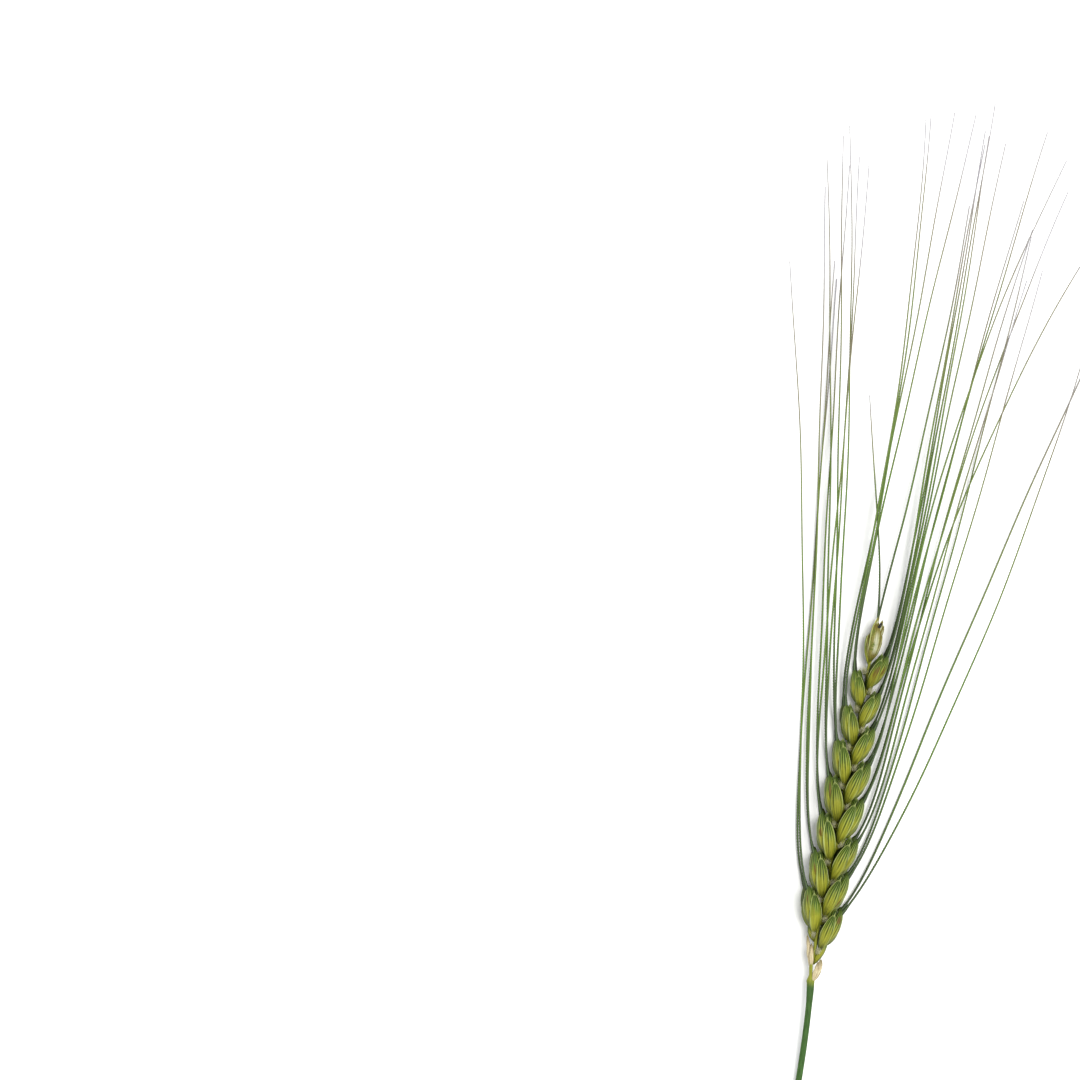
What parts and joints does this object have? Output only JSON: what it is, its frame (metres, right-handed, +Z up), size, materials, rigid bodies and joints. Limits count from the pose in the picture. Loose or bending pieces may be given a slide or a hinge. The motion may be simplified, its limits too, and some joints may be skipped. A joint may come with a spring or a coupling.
{
  "type": "wheat ear",
  "caption": "Green bearded wheat ear lying on its back, with plump husked spikelets in opposite rows, long fanning awns and a short cut stem.",
  "frame": {"origin": "middle of the flat spot under the spikelet at the point of balance, on the surface that the ear lies on", "axes": "+Y along the ear from the cut stem to the tips of the awns, +X to the row of spikelets on the right seen from above, +Z up from the surface"},
  "size_m": [0.0736, 0.2408, 0.0259],
  "materials": {
    "green_husk": "satin yellow-green plant husk",
    "dry_husk": "dry pale husk",
    "straw": "dry straw bract",
    "stem": "satin green stem"
  },
  "bodies": {
    "root": {"stem_and_rachis": "stem", "spikelet_01": "green_husk", "spikelet_02": "green_husk", "spikelet_03": "green_husk", "spikelet_04": "green_husk", "spikelet_05": "green_husk", "spikelet_06": "green_husk", "spikelet_07": "green_husk", "spikelet_08": "green_husk", "spikelet_09": "green_husk", "spikelet_10": "green_husk", "spikelet_11": "green_husk", "spikelet_12": "green_husk", "spikelet_13": "green_husk", "spikelet_14": "green_husk", "spikelet_15": "green_husk", "spikelet_top": "dry_husk", "bract_left": "straw", "bract_right": "straw"}
  },
  "joints": []
}
